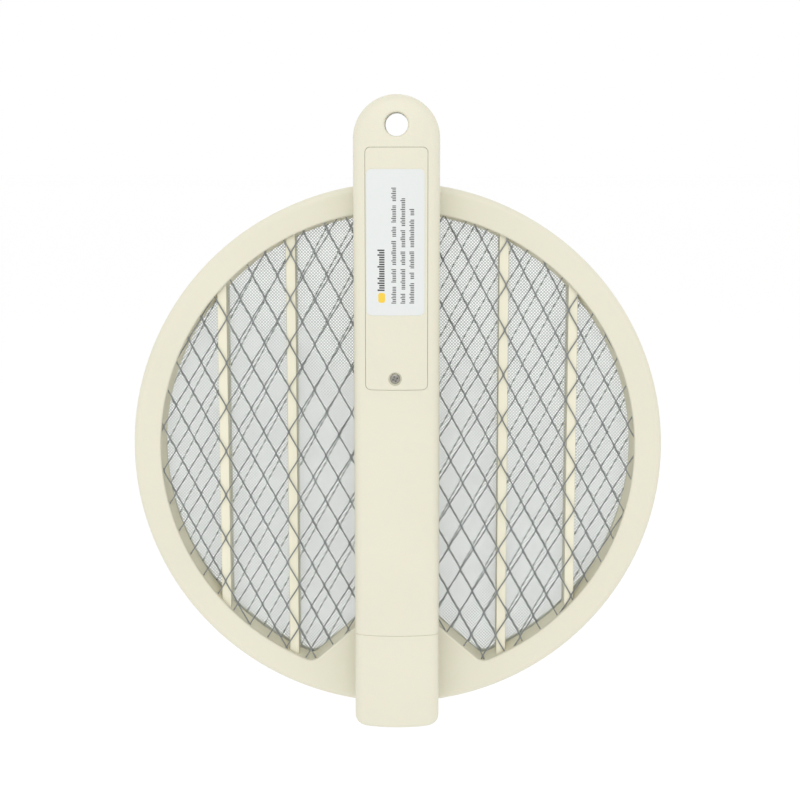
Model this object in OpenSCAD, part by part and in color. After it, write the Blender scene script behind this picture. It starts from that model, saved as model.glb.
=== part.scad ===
/* [Handle] */
// Width of the handle
handle_w = 34.3; // [32:0.1:38]
// Depth of the handle, from its outer face to the face that meets the head
handle_d = 26; // [25:0.5:30]
// Height of the handle's end above the middle of the hanging hole
handle_top = 11.7; // [11:0.1:13]
// Distance from the middle of the hanging hole down to the hinge collar's seam
seam_drop = 205.9; // [204:0.1:207]
// Distance from the middle of the hanging hole down to the handle's lower end
handle_drop = 245; // [244.9:0.1:245.2]
// Diameter of the hanging hole
hang_hole_d = 9.2; // [6:0.1:9.4]
// Wall thickness of the mouldings
wall = 1.8; // [1.6:0.1:2]

/* [Battery door] */
// Width of the battery door
door_w = 24.6; // [24.4:0.1:25]
// Height of the battery door
door_h = 95.6; // [95.4:0.1:96]
// Distance from the middle of the hanging hole down to the door's upper edge
door_drop = 8.9; // [8.8:0.1:9.2]
// Gap all round the door
door_gap = 0.25; // [0.2:0.05:0.4]
// Diameter of the door's screw head
door_screw_d = 4; // [3.8:0.1:4.2]
// Width of the door's label
label_w = 22.9; // [18:0.1:23]
// Height of the door's label
label_h = 57.4; // [40:0.1:60]

/* [Head] */
// Outer diameter of the round head
head_d = 220; // [219:0.5:220.5]
// Width of the head's rim
rim_w = 11.4; // [11:0.1:12]
// Thickness of the head
head_t = 18.5; // [18:0.5:19]
// Gap between the folded handle and the head
fold_gap = 0.4; // [0.3:0.1:0.5]
// Distance from the middle of the hanging hole down to the middle of the head
head_drop = 133.3; // [133.2:0.1:133.5]
// Width of the ribs between the grids
rib_w = 3.9; // [3:0.1:5]
// Distance between the ribs
rib_pitch = 28.6; // [28:0.1:29]

/* [Grids] */
// Width of one diamond
diamond_w = 10.4; // [10:0.1:12]
// Height of one diamond
diamond_h = 19; // [18:0.1:22]
// Width of the strands between the diamonds
strand_w = 0.8; // [0.6:0.1:1.2]
// Thickness of the outer grids
grid_t = 0.6; // [0.5:0.1:0.8]

/* [Hidden] */
$fn = 48;
cut = 1;
shell_colour = [0.92, 0.91, 0.82];
head_colour = [0.92, 0.91, 0.83];
steel_colour = [0.7, 0.7, 0.72];
black_colour = [0.12, 0.12, 0.12];

// The handle's section: a broad crowned outer face, rounded edges and a flat inner face.
crown_r = 50;
edge_r = 4.5;
half_d = handle_d / 2;
crown_y = crown_r - half_d;
edge_x = handle_w / 2 - edge_r;
edge_y = crown_y - sqrt(pow(crown_r - edge_r, 2) - pow(edge_x, 2));
tangent_angle = atan2(edge_y - crown_y, edge_x);
arc_steps = 6;
end_z = handle_top - handle_w / 2;
hang_boss_r = hang_hole_d / 2 + wall;

// Mouldings inside the handle.
boss_r = 2.7;
screw_r = 1.2;
screw_hole_r = 1.3;
screw_head_r = 2.1;
screw_head_t = 1.4;
screw_head_clear = 0.2;
screw_slot_w = 0.6;
shell_screw_sink = 0.6;
shell_screw_l = 16;
collar_screw_sink = 0.1;
collar_screw_head_t = 0.9;
collar_screw_l = 5;
shell_screw_places = [[11, -0.5], [12, -108.6], [11.2, -198.6]];
spigot_l = 9;
spigot_clear = 0.15;
collar_screw_x = 9;
collar_screw_z = -seam_drop - 5;
collar_corner_r = 4;

// The battery door and bay.
door_z = -door_drop - door_h;
door_corner_r = 2;
door_screw_x = -0.6;
door_screw_z = door_z + 4.4;
door_screw_l = 8;
door_screw_r = 1;
door_screw_head_t = 0.8;
door_recess_r = 2.65;
door_recess_y = -half_d + 1.1;
door_boss_r = 1.6;
label_t = 0.12;
label_x = 0.45 - door_w / 2;
label_z = -17.3 - label_h;
cell_r = 5.2;
cell_l = 43.3;
cell_nub_r = 1.9;
cell_nub_l = 1.2;
cell_pitch = cell_l + cell_nub_l;
cell_x = 5.55;
cell_y = -5.4;
tray_wall = 1;
tray_in_w = 2 * (cell_x + cell_r) + 0.5;
tray_y0 = -9.3;
tray_y1 = cell_y + cell_r + 0.15;
tray_top = -8.3;
tray_bottom = door_z + 0.3;
contact_t = 0.4;
contact_w = 8.4;
contact_h = 7;
contact_gap = 0.05;
contact_trim = 1.2;
spring_contact_w = 5.8;
cell_low = tray_top - contact_t - 2 * contact_gap - 2 * cell_pitch;
spring_wire_r = 0.3;
spring_turns = 3;
spring_r0 = 2.8;
spring_r1 = 2.2;

// The circuit board and what stands on the side of it that faces the battery door.
board_y = 4.4;
board_t = 1.6;
board_w = 27;
board_top = -112.4;
board_bottom = -193;
board_back = board_y + board_t;
part_gap = 0.1;
core_size = [14, 11, 15];
core_side = 2.4;
core_end = 2;
core_z = -188;
core_gap = 0.5;
winding_clear = 0.1;
hv_capacitor_size = [16, 6.5, 12];
hv_capacitor_z = -168;
filter_capacitor_r = 3;
filter_capacitor_h = 9;
filter_capacitor_x = -7;
filter_capacitor_z = -118;
resistor_r = 1.2;
resistor_l = 7;
resistor_count = 3;
resistor_pitch = 5;
resistor_z = -130;
diode_r = 1.3;
diode_l = 6;
diode_x = 6;
diode_pitch = 4;
diode_z = -147.5;
transistor_size = [4.6, 5, 3.6];
transistor_x = 8.3;
transistor_z = -120;

// The zap button and the power switch, on the handle's inner face.
button_z = -125;
button_w = 9;
button_h = 15;
button_proud = 1.4;
button_travel = 1.2;
button_clear = 0.2;
flange_t = 1.2;
flange_w = 1.2;
stem_r = 1.6;
button_inner_y = half_d - wall - flange_t - 0.4;
push_switch_w = 5.6;
push_switch_t = 0.9;
coil_r = 2.9;
coil_wire_r = 0.3;
coil_turns = 2;
coil_flare = 1.7;
knob_z = -152;
knob_travel = 4;
knob_w = 6;
knob_h = 7;
knob_proud = 0.9;
knob_plate_t = 0.7;
knob_stem_inset = 2;
slot_inset = 1.5;
switch_body_w = 8;
switch_body_t = 3.6;
switch_body_h = 13;
lamp_z = -105;
lamp_r = 1.5;
lamp_y = 5;
lamp_flange = 0.5;
lamp_flange_t = 1;
lamp_proud = 0.2;

// The fold hinge, between the handle's inner face and the head.
hinge_y = half_d + fold_gap / 2;
hinge_z = -handle_drop + 0.5;
knuckle_r = 5;
knuckle_clear = 0.35;
pin_r = 2.5;
pin_bore_r = 1.5;
pin_clear = 0.05;
inner_knuckle_x = 10.2;
outer_knuckle_x0 = 10.7;
outer_knuckle_x1 = 15.6;
pin_x0 = 5.5;
pin_x1 = 12;
washer_t = 0.4;
washer_r = knuckle_r - 0.4;
washer_gap = 0.05;
bulkhead_t = 9;
collar_lead_h = 12;
lead_r = 0.6;
lead_hole_r = 0.85;
lead_bend_r = 1.2;
lead_bend = 0.4;
lead_x = 13.2;
lead_y = 10.2;

// The head.
head_r = head_d / 2;
open_r = head_r - rim_w;
head_y0 = half_d + fold_gap;
head_y1 = head_y0 + head_t;
mid_y = (head_y0 + head_y1) / 2;
lip_t = 2;
seat_w = 4.4;
seat_clear = 0.2;
grid_edge = 2;
front_shift = [1.5, 4.9];
front_turn = -1.8;
rear_shift = [1.1, 3.2];
rear_turn = 0.3;
rim_edge_r = 2.5;
throat_top = -72;
throat_top_w = 25.4;
throat_angle = 40.8;
throat_fillet = 5;
front_grid_y = head_y0 + lip_t;
rear_grid_y = head_y1 - lip_t - grid_t;
centre_y0 = mid_y - grid_t / 2;
centre_y1 = mid_y + grid_t / 2;
first_rib = 15.3;
rib_count = 3;
spacer_rim = 3.2;
frame_screw_r = 106.6;
frame_screw_count = 8;
frame_pilot_r = 1.15;
frame_pilot_l = 6.5;
frame_screw_l = 12;
frame_screw_sink = 0.8;
frame_head_sink = 2.2;
throat_screw_x = 9;
throat_screw_drop = 12;
throat_reach = 46;
channel_x = 2.4;
channel_y = mid_y - 2.2;
channel_z0 = hinge_z + 7.4;
channel_tilt = 40;
channel_rise = 12;
channel_lead_y = mid_y - 1.2;
channel_z1 = -head_drop + throat_top - seat_w;

function flip(points) = [for (i = [len(points) - 1:-1:0]) [-points[i][0], points[i][1]]];

// Right half of the handle's section, from the middle of the crown to the middle of the flat face.
function half_section(inset) = concat(
    [for (i = [0:arc_steps])
        let (a = -90 + (tangent_angle + 90) * i / arc_steps)
        [(crown_r - inset) * cos(a), crown_y + (crown_r - inset) * sin(a)]],
    [for (i = [1:arc_steps])
        let (a = tangent_angle * (1 - i / arc_steps))
        [edge_x + (edge_r - inset) * cos(a), edge_y + (edge_r - inset) * sin(a)]],
    [for (i = [0:arc_steps])
        let (a = 90 * i / arc_steps)
        [edge_x + (edge_r - inset) * cos(a), half_d - edge_r + (edge_r - inset) * sin(a)]],
    [[0, half_d - inset]]
);

// A flat shape in X and Z, made solid between two depths.
module slab(y0, y1) {
    translate([0, y1, 0]) rotate([90, 0, 0]) linear_extrude(y1 - y0) children();
}

// A cylinder along Y between two depths.
module rod_y(x, z, r, y0, y1) {
    translate([x, y0, z]) rotate([-90, 0, 0]) cylinder(h = y1 - y0, r = r);
}

// A cylinder along X between two places.
module rod_x(y, z, r, x0, x1) {
    translate([x0, y, z]) rotate([0, 90, 0]) cylinder(h = x1 - x0, r = r);
}

module both_sides() {
    children();
    mirror([1, 0, 0]) children();
}

module rounded_plate(w, h, r) {
    union() {
        square([w - 2 * r, h], center = true);
        square([w, h - 2 * r], center = true);
        for (x = [-1, 1], z = [-1, 1]) translate([x * (w / 2 - r), z * (h / 2 - r)]) circle(r);
    }
}

// The handle's bar from one height up to its rounded end, shrunk all round by an inset.
module handle_bar(inset, z_low) {
    half = half_section(inset);
    translate([0, 0, z_low]) linear_extrude(end_z - z_low) polygon(concat(half, flip(half)));
    translate([0, 0, end_z]) rotate([90, 0, 0]) rotate_extrude(angle = 180)
        polygon([for (p = half) [p[0], -p[1]]]);
}

// A straight length of the handle's section.
module handle_slice(inset, z0, z1) {
    half = half_section(inset);
    translate([0, 0, z0]) linear_extrude(z1 - z0) polygon(concat(half, flip(half)));
}

// A thin-walled half of the handle, with the reduced spigot that the collar slides over.
module handle_walls(y0, y1) {
    difference() {
        union() {
            handle_bar(0, -seam_drop);
            handle_slice(wall + spigot_clear, -seam_drop - spigot_l, -seam_drop + wall);
        }
        handle_bar(wall, -seam_drop + wall);
        handle_slice(2 * wall, -seam_drop - spigot_l - cut, -seam_drop + 2 * wall);
        translate([-handle_w, y1, -2 * handle_drop]) cube([2 * handle_w, handle_d, 3 * handle_drop]);
        translate([-handle_w, y0 - handle_d, -2 * handle_drop])
            cube([2 * handle_w, handle_d, 3 * handle_drop]);
    }
}

module shell_screw_spots() {
    for (p = shell_screw_places, side = [-1, 1]) translate([side * p[0], 0, p[1]]) children();
}

// The direction of a route at one of its points, halfway between the lengths that meet there.
function along(p, i) =
    let (before = p[max(i, 1)] - p[max(i, 1) - 1], after = p[min(i + 1, len(p) - 1)] - p[min(i, len(p) - 2)],
        both = before / norm(before) + after / norm(after))
    both / norm(both);

// A direction square to the route, carried from point to point without twist.
function square_to(p, i) =
    let (t = along(p, i), u = i == 0 ? [t[1], t[2], t[0]] : square_to(p, i - 1), v = u - (u * t) * t)
    v / norm(v);

// A closed tube swept along a route of points.
module wire(route, r) {
    sides = 8;
    rings = [for (i = [0:len(route) - 1])
        let (t = along(route, i), u = square_to(route, i), w = cross(t, u))
        [for (j = [0:sides - 1]) let (a = 360 * j / sides) route[i] + r * (cos(a) * u + sin(a) * w)]];
    skin_of(rings, sides);
}

// The closed skin over a row of rings that all have the same number of points.
module skin_of(rings, sides) {
    count = len(rings);
    skin = [for (i = [0:count - 2], j = [0:sides - 1])
        let (k = (j + 1) % sides)
        [i * sides + j, (i + 1) * sides + j, (i + 1) * sides + k, i * sides + k]];
    first = [for (j = [0:sides - 1]) j];
    last = [for (j = [sides - 1:-1:0]) (count - 1) * sides + j];
    polyhedron(points = [for (ring = rings, p = ring) p], faces = concat(skin, [first, last]));
}

// A coil of round wire about Z, from z = 0 up, as one closed skin.
module coil(r0, r1, h, turns, wire_r) {
    sides = 6;
    steps = 16 * turns;
    rings = [for (i = [0:steps]) let (t = i / steps, a = 360 * turns * t, r = r0 + (r1 - r0) * t)
        [for (j = [0:sides - 1]) let (b = 360 * j / sides)
            [(r + wire_r * cos(b)) * cos(a), (r + wire_r * cos(b)) * sin(a), h * t + wire_r * sin(b)]]];
    skin_of(rings, sides);
}

// Screw along Y: the head's outer face is at y, and the shank runs inwards along dir.
module screw_y(x, z, y, dir, length, head_r, head_t, shank_r) {
    slot_l = head_r * 1.2;
    translate([x, y, z]) rotate([-90 * dir, 0, 0]) difference() {
        union() {
            cylinder(h = head_t, r = head_r);
            cylinder(h = length, r = shank_r);
        }
        for (a = [0, 90]) rotate([0, 0, a])
            translate([-slot_l / 2, -screw_slot_w / 2, -cut])
            cube([slot_l, screw_slot_w, cut + head_t * 0.6]);
    }
}

// ---- Handle ----

module door_prism(grow) {
    translate([0, 0, door_z + door_h / 2])
        slab(-handle_d, edge_y + 3) rounded_plate(door_w + 2 * grow, door_h + 2 * grow, door_corner_r);
}

module handle_outer_shell() {
    color(shell_colour) difference() {
        union() {
            difference() {
                handle_walls(-handle_d, 0);
                door_prism(door_gap);
            }
            intersection() {
                handle_bar(wall / 2, -seam_drop);
                union() {
                    rod_y(0, 0, hang_boss_r, -half_d, 0);
                    shell_screw_spots() rod_y(0, 0, boss_r, -half_d, 0);
                }
            }
        }
        rod_y(0, 0, hang_hole_d / 2, -handle_d, handle_d);
        shell_screw_spots() rod_y(0, 0, screw_r, -8, cut);
        both_sides() rod_y(collar_screw_x, collar_screw_z, screw_r, -half_d, cut);
    }
}

module handle_inner_shell() {
    color(shell_colour) difference() {
        union() {
            handle_walls(0, handle_d);
            intersection() {
                handle_bar(wall / 2, -seam_drop);
                union() {
                    rod_y(0, 0, hang_boss_r, 0, half_d);
                    shell_screw_spots() rod_y(0, 0, boss_r, 0, half_d);
                }
            }
        }
        rod_y(0, 0, hang_hole_d / 2, -handle_d, handle_d);
        shell_screw_spots() rod_y(0, 0, screw_hole_r, -cut, handle_d);
        shell_screw_spots() rod_y(0, 0, screw_head_r + screw_head_clear,
            half_d - screw_head_t - shell_screw_sink, handle_d);
        both_sides() rod_y(collar_screw_x, collar_screw_z, screw_r, 0, handle_d);
        translate([0, 0, button_z]) slab(0, handle_d)
            rounded_plate(button_w + 2 * button_clear, button_h + 2 * button_clear, button_w / 2);
        translate([0, 0, knob_z - knob_travel / 2]) slab(0, handle_d)
            rounded_plate(knob_w - slot_inset, knob_h + knob_travel - slot_inset, 1);
        translate([0, 0, knob_z - knob_travel / 2]) slab(half_d - 0.8, handle_d)
            rounded_plate(knob_w + 0.6, knob_h + knob_travel + 0.6, 1.5);
        rod_y(0, lamp_z, lamp_r + 0.1, 0, handle_d);
    }
}

module hinge_collar() {
    collar_h = handle_drop - seam_drop;
    color(shell_colour) difference() {
        union() {
            intersection() {
                handle_slice(0, -handle_drop, -seam_drop);
                translate([0, 0, -seam_drop]) slab(-handle_d, handle_d)
                    rounded_plate(handle_w, 2 * collar_h, collar_corner_r);
            }
            both_sides() rod_x(hinge_y, hinge_z, knuckle_r, outer_knuckle_x0, outer_knuckle_x1);
        }
        handle_slice(wall, -handle_drop + bulkhead_t, -seam_drop + cut);
        rod_x(hinge_y, hinge_z, knuckle_r + knuckle_clear, -outer_knuckle_x0, outer_knuckle_x0);
        both_sides() {
            rod_x(hinge_y, hinge_z, pin_r, 0, outer_knuckle_x1 - 1);
            translate([lead_x, lead_y, hinge_z]) cylinder(h = collar_lead_h, r = lead_hole_r);
            rod_y(lead_x, hinge_z, lead_hole_r, lead_y - lead_hole_r, hinge_y);
            rod_y(collar_screw_x, collar_screw_z, screw_hole_r, 0, handle_d);
            rod_y(collar_screw_x, collar_screw_z, screw_head_r + screw_head_clear,
                half_d - collar_screw_head_t - collar_screw_sink, handle_d);
        }
    }
}

module shell_screws() {
    color(steel_colour) shell_screw_spots() screw_y(0, 0, half_d - shell_screw_sink, -1, shell_screw_l,
        screw_head_r, screw_head_t, screw_r);
}

module collar_screws() {
    color(steel_colour) both_sides() screw_y(collar_screw_x, collar_screw_z, half_d - collar_screw_sink, -1,
        collar_screw_l, screw_head_r, collar_screw_head_t, screw_r);
}

module hinge_pins() {
    color(steel_colour) both_sides() difference() {
        rod_x(hinge_y, hinge_z, pin_r, pin_x0, pin_x1);
        rod_x(hinge_y, hinge_z, pin_bore_r, pin_x0 - cut, pin_x1 + cut);
    }
}

module hinge_washers() {
    washer_x = inner_knuckle_x + washer_gap;
    color(steel_colour) both_sides() difference() {
        rod_x(hinge_y, hinge_z, washer_r, washer_x, washer_x + washer_t);
        rod_x(hinge_y, hinge_z, pin_r + pin_clear, washer_x - cut, washer_x + cut);
    }
}

// ---- Battery door ----

module battery_door() {
    color(shell_colour) difference() {
        intersection() {
            difference() {
                handle_bar(0, -seam_drop);
                handle_bar(wall, -seam_drop - cut);
            }
            door_prism(0);
        }
        rod_y(door_screw_x, door_screw_z, door_screw_r, -handle_d, 0);
        rod_y(door_screw_x, door_screw_z, door_recess_r, -handle_d, door_recess_y);
    }
}

module door_screw() {
    color(steel_colour) screw_y(door_screw_x, door_screw_z, door_recess_y - door_screw_head_t, 1,
        door_screw_l, door_screw_d / 2, door_screw_head_t, door_screw_r);
}

module door_label() {
    color([0.92, 0.93, 0.93]) intersection() {
        difference() {
            handle_bar(-label_t, -seam_drop);
            handle_bar(0, -seam_drop - cut);
        }
        translate([label_x + label_w / 2, 0, label_z + label_h / 2])
            slab(-handle_d, edge_y) rounded_plate(label_w, label_h, 1.2);
    }
}

module battery_tray() {
    out_w = tray_in_w + 2 * tray_wall;
    color([0.86, 0.85, 0.76]) difference() {
        union() {
            difference() {
                translate([-out_w / 2, tray_y0, tray_bottom - tray_wall])
                    cube([out_w, tray_y1 + tray_wall - tray_y0, tray_top - tray_bottom + 2 * tray_wall]);
                translate([-tray_in_w / 2, tray_y0 - cut, tray_bottom])
                    cube([tray_in_w, tray_y1 - tray_y0 + cut, tray_top - tray_bottom]);
            }
            rod_y(door_screw_x, door_screw_z, door_boss_r, -half_d + wall + 0.2, tray_y1 + tray_wall / 2);
        }
        rod_y(door_screw_x, door_screw_z, door_screw_r + pin_clear, -handle_d, tray_y1);
    }
}

// A cell standing on z, with its nub up or down.
module cell(side, z, up) {
    color(up ? [0.75, 0.6, 0.3] : [0.72, 0.58, 0.32])
        translate([side * cell_x, cell_y, z + (up ? 0 : cell_l + cell_nub_l)])
        rotate([up ? 0 : 180, 0, 0]) {
            cylinder(h = cell_l, r = cell_r);
            cylinder(h = cell_l + cell_nub_l, r = cell_nub_r);
        }
}

module battery_cell_1() { cell(-1, cell_low, true); }
module battery_cell_2() { cell(-1, cell_low + cell_pitch + contact_gap, true); }
module battery_cell_3() { cell(1, cell_low, false); }
module battery_cell_4() { cell(1, cell_low + cell_pitch + contact_gap, false); }

module battery_contacts() {
    contact_y = cell_y - contact_h / 2;
    step_h = cell_low - tray_bottom - 2 * contact_gap;
    color([0.8, 0.8, 0.78]) {
        translate([-cell_x - contact_w / 2, contact_y, tray_top - contact_t])
            cube([2 * cell_x + contact_w, contact_h, contact_t]);
        translate([-cell_x - contact_w / 2, contact_y, tray_bottom])
            cube([spring_contact_w, contact_h, contact_t]);
        translate([cell_x - contact_w / 2 + contact_trim, contact_y, tray_bottom]) {
            cube([contact_w - contact_trim, contact_h, contact_t]);
            translate([contact_w - contact_trim - contact_t, 0, 0])
                cube([contact_t, contact_h, step_h]);
            translate([0, 0, step_h - contact_t])
                cube([contact_w - contact_trim, contact_h, contact_t]);
        }
    }
}

module battery_springs() {
    color([0.8, 0.8, 0.78]) translate([-cell_x, cell_y, tray_bottom + contact_t + spring_wire_r])
        coil(spring_r0, spring_r1, cell_low - tray_bottom - contact_t - 2.2 * spring_wire_r, spring_turns,
            spring_wire_r);
}

module battery_leads() {
    color([0.7, 0.15, 0.12]) both_sides()
        wire([[7, 2, tray_bottom - 1.8], [7, 2.2, tray_bottom - 4], [7, 5.2, board_top + 0.8]], lead_r);
}

// ---- Electronics ----

// A box on the board, centred on x, with its lower end at z.
module on_board(x, z, size, gap) {
    translate([x - size[0] / 2, board_y - gap - size[1], z]) cube(size);
}

module circuit_board() {
    color([0.2, 0.42, 0.25]) translate([-board_w / 2, board_y, board_bottom])
        cube([board_w, board_t, board_top - board_bottom]);
}

module transformer_core() {
    window = core_size - [2 * core_side, 0, 2 * core_end];
    color(black_colour) difference() {
        on_board(0, core_z, core_size, core_gap);
        on_board(0, core_z + core_end, window + [0, 2 * cut, 0], core_gap - cut);
    }
}

module transformer_winding() {
    window = core_size - [2 * core_side, 0, 2 * core_end];
    color([0.72, 0.45, 0.2]) on_board(0, core_z + core_end + winding_clear,
        window + [-2 * winding_clear, core_gap, -2 * winding_clear], part_gap);
}

module high_voltage_capacitor() {
    color([0.66, 0.22, 0.12]) on_board(0, hv_capacitor_z, hv_capacitor_size, part_gap);
}

module filter_capacitor() {
    color([0.15, 0.2, 0.32]) rod_y(filter_capacitor_x, filter_capacitor_z, filter_capacitor_r,
        board_y - part_gap - filter_capacitor_h, board_y - part_gap);
}

module resistors() {
    color([0.78, 0.68, 0.5]) for (i = [0:resistor_count - 1])
        rod_x(board_y - part_gap - resistor_r, resistor_z - resistor_pitch * i, resistor_r,
            -resistor_l / 2, resistor_l / 2);
}

module diodes() {
    color(black_colour) for (x = [-diode_x, diode_x], row = [0, 1])
        rod_x(board_y - part_gap - diode_r, diode_z - diode_pitch * row, diode_r,
            x - diode_l / 2, x + diode_l / 2);
}

module switching_transistor() {
    color(black_colour) on_board(transistor_x, transistor_z, transistor_size, part_gap);
}

module push_switch() {
    color(black_colour) translate([-push_switch_w / 2, board_back, button_z - push_switch_w / 2])
        cube([push_switch_w, push_switch_t, push_switch_w]);
}

module zap_button() {
    color([0.8, 0.24, 0.16]) translate([0, 0, button_z]) {
        slab(button_inner_y, half_d + button_proud)
            rounded_plate(button_w, button_h, button_w / 2 - 0.1);
        slab(button_inner_y, half_d - wall - 0.1)
            rounded_plate(button_w + 2 * flange_w, button_h + 2 * flange_w, button_w / 2);
        rod_y(0, 0, stem_r, board_back + push_switch_t + button_travel + 0.1, button_inner_y + cut);
    }
}

module button_spring() {
    spring_y = board_back + coil_wire_r + 0.02;
    color(steel_colour) translate([0, spring_y, button_z]) rotate([-90, 0, 0])
        coil(coil_r + coil_flare, coil_r, button_inner_y - spring_y - coil_wire_r - 0.04, coil_turns,
            coil_wire_r);
}

module power_switch_body() {
    color(black_colour)
        translate([-switch_body_w / 2, board_back, knob_z - knob_travel / 2 - switch_body_h / 2])
        cube([switch_body_w, switch_body_t, switch_body_h]);
}

module power_switch_knob() {
    color([0.25, 0.25, 0.26]) translate([0, 0, knob_z]) {
        slab(half_d - knob_plate_t, half_d + knob_proud) rounded_plate(knob_w, knob_h, 1.2);
        slab(board_back + switch_body_t + 0.1, half_d - knob_plate_t + 0.1)
            rounded_plate(knob_w - knob_stem_inset, knob_h - knob_stem_inset, 0.8);
    }
}

module indicator_lamp() {
    color([0.8, 0.15, 0.12]) {
        rod_y(0, lamp_z, lamp_r, lamp_y, half_d + lamp_proud);
        rod_y(0, lamp_z, lamp_r + lamp_flange, lamp_y, lamp_y + lamp_flange_t);
    }
}

module handle_hv_leads() {
    color([0.85, 0.85, 0.84]) both_sides() wire([
        [7.6, 6.7, board_bottom + 1], [7.6, 7, board_bottom - 3], [7.6, 7.4, -seam_drop - 10],
        [lead_x, lead_y, -handle_drop + bulkhead_t + 2], [lead_x, lead_y, hinge_z + 0.8],
        [lead_x, lead_y + 0.8, hinge_z], [lead_x, hinge_y - 0.8, hinge_z],
        [lead_x - 0.8, hinge_y, hinge_z], [pin_x0 + 1.4, hinge_y, hinge_z]], lead_r);
}

// ---- Head ----

// The throat that fills the bottom of the opening, with slanted sides.
module throat_2d() {
    half = throat_top_w / 2;
    foot = throat_top - throat_reach * tan(throat_angle);
    polygon([[-half, throat_top], [half, throat_top], [half + throat_reach, foot],
        [-half - throat_reach, foot]]);
}

module opening_2d() {
    offset(r = throat_fillet, $fn = 64) offset(delta = -throat_fillet) difference() {
        circle(open_r, $fn = 120);
        throat_2d();
    }
}

module seat_2d(grow) {
    offset(delta = grow) opening_2d();
}

// A round blank from depth y0 to y1, with a rounded outer edge at y0.
module rim_blank(y0, y1) {
    flat = y1 > y0 ? 1 : -1;
    rotate([90, 0, 0]) rotate_extrude($fn = 120) union() {
        translate([0, min(-y0, -y1)]) square([head_r - rim_edge_r, abs(y1 - y0)]);
        translate([0, min(-y0 - flat * rim_edge_r, -y1)])
            square([head_r, abs(y1 - y0) - rim_edge_r]);
        translate([head_r - rim_edge_r, -y0 - flat * rim_edge_r]) circle(rim_edge_r, $fn = 32);
    }
}

module frame_screw_spots() {
    for (i = [0:frame_screw_count - 1]) {
        a = 360 * (i + 0.5) / frame_screw_count;
        translate([frame_screw_r * cos(a), 0, frame_screw_r * sin(a)]) children();
    }
    for (side = [-1, 1])
        translate([side * throat_screw_x, 0, throat_top - throat_screw_drop]) children();
}

module head_front_frame() {
    color(head_colour) difference() {
        union() {
            translate([0, 0, -head_drop]) difference() {
                rim_blank(head_y0, mid_y);
                slab(head_y0 - cut, mid_y + cut) opening_2d();
                slab(front_grid_y, mid_y + cut) seat_2d(seat_w);
                frame_screw_spots() rod_y(0, 0, frame_pilot_r, mid_y - frame_pilot_l, mid_y + cut);
            }
            rod_x(hinge_y, hinge_z, knuckle_r, -inner_knuckle_x, inner_knuckle_x);
        }
        both_sides() {
            rod_x(hinge_y, hinge_z, knuckle_r + knuckle_clear, inner_knuckle_x, outer_knuckle_x1 + 0.4);
            rod_x(hinge_y, hinge_z, pin_r + pin_clear, pin_x0 - 0.3, inner_knuckle_x + cut);
            rod_x(hinge_y, hinge_z, lead_hole_r, channel_x, pin_x0);
            translate([channel_x, hinge_y, hinge_z]) {
                sphere(lead_bend_r);
                rotate([-channel_tilt, 0, 0]) cylinder(h = channel_rise, r = lead_hole_r);
            }
            translate([channel_x - lead_hole_r, channel_y, channel_z0])
                cube([2 * lead_hole_r, handle_d, channel_z1 - channel_z0 + cut]);
        }
    }
}

module head_rear_frame() {
    color(head_colour) translate([0, 0, -head_drop]) difference() {
        rim_blank(head_y1, mid_y);
        slab(mid_y - cut, head_y1 + cut) opening_2d();
        slab(mid_y - cut, head_y1 - lip_t) seat_2d(seat_w);
        frame_screw_spots() {
            rod_y(0, 0, screw_hole_r, mid_y - cut, head_y1 + cut);
            rod_y(0, 0, screw_head_r, head_y1 - frame_head_sink, head_y1 + cut);
        }
    }
}

module frame_screws() {
    color(steel_colour) translate([0, 0, -head_drop]) frame_screw_spots()
        screw_y(0, 0, head_y1 - frame_screw_sink, -1, frame_screw_l, screw_head_r - screw_head_clear,
            screw_head_t, frame_pilot_r);
}

// Rhombic holes of an expanded grid, shifted sideways and up.
module diamonds_2d(w, h, strand, shift) {
    shrink = 1 - strand * norm([w, h]) / (w * h);
    nx = ceil(open_r / w) + 1;
    nz = ceil(open_r / h) + 1;
    for (i = [-2 * nx:2 * nx], j = [-2 * nz:2 * nz]) {
        middle = [i * w / 2, j * h / 2] + shift;
        if ((i + j) % 2 == 0 && norm(middle) < open_r + h / 3)
            translate(middle) polygon(shrink * [[w / 2, 0], [0, h / 2], [-w / 2, 0], [0, -h / 2]]);
    }
}

// A grid with a plain edge that the frame's lip covers, its diamonds turned by a few degrees.
module grid(y0, w, h, strand, shift, turn) {
    translate([0, 0, -head_drop]) slab(y0, y0 + grid_t) difference() {
        seat_2d(seat_w - seat_clear);
        intersection() {
            seat_2d(seat_w - seat_clear - grid_edge);
            rotate(turn) diamonds_2d(w, h, strand, shift);
        }
    }
}

module front_grid() {
    color([0.6, 0.6, 0.62]) grid(front_grid_y, diamond_w, diamond_h, strand_w, front_shift, front_turn);
}

module centre_grid() {
    color([0.8, 0.81, 0.8]) grid(centre_y0, diamond_w, diamond_h, strand_w, [diamond_w / 2, 0], 0);
}

module rear_grid() {
    color([0.6, 0.6, 0.62]) grid(rear_grid_y, diamond_w, diamond_h, strand_w, rear_shift, rear_turn);
}

// A thin ring that follows the seat, with upright ribs across the opening.
module spacer(y0, y1) {
    color(head_colour) translate([0, 0, -head_drop]) slab(y0, y1) intersection() {
        seat_2d(seat_w - seat_clear);
        union() {
            difference() {
                circle(head_r);
                seat_2d(seat_w - seat_clear - spacer_rim);
            }
            for (i = [0:rib_count - 1], side = [-1, 1])
                translate([side * (first_rib + i * rib_pitch) - rib_w / 2, -head_r])
                square([rib_w, head_d]);
        }
    }
}

module front_spacer() { spacer(front_grid_y + grid_t, centre_y0); }
module rear_spacer() { spacer(centre_y1, rear_grid_y); }

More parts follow.
